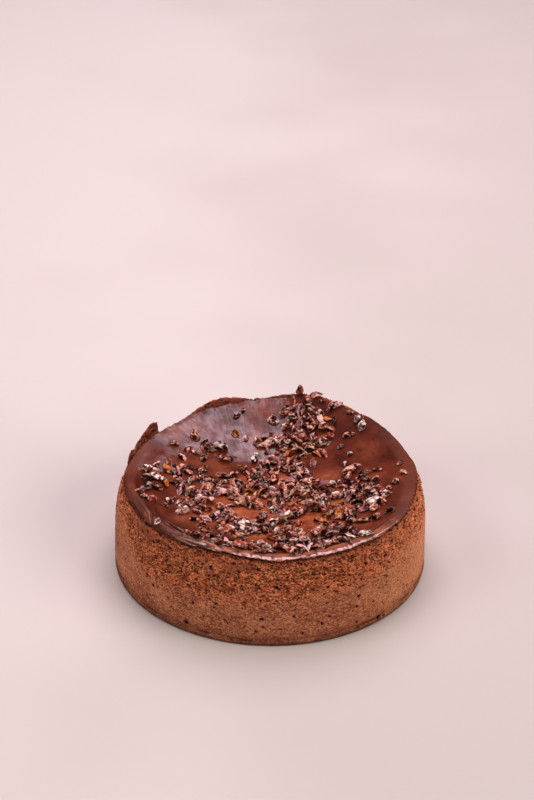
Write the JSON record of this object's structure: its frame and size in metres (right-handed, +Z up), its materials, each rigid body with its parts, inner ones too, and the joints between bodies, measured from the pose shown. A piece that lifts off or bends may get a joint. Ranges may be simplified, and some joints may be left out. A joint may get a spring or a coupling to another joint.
{
  "type": "basque cheesecake",
  "caption": "Whole round chocolate Basque cheesecake with a high uneven rim, a sunken glossy top and cacao nibs strewn on it.",
  "frame": {"origin": "centre of the cake's foot, on the surface that it stands on", "axes": "+Z up; -Y towards the side that faces the camera in the picture, +X to its right"},
  "size_m": [0.1799, 0.1798, 0.0682],
  "materials": {
    "baked_chocolate": "baked chocolate crumb, matt, fine pores below and rough orange-brown crumbs under the rim",
    "glossy_skin": "smooth dark brown baked skin, satin to glossy",
    "cacao_nib": "broken cacao nibs, dark brown to red-brown with pale husk edges"
  },
  "bodies": {
    "root": {"cheesecake": "baked_chocolate"}
  },
  "joints": []
}
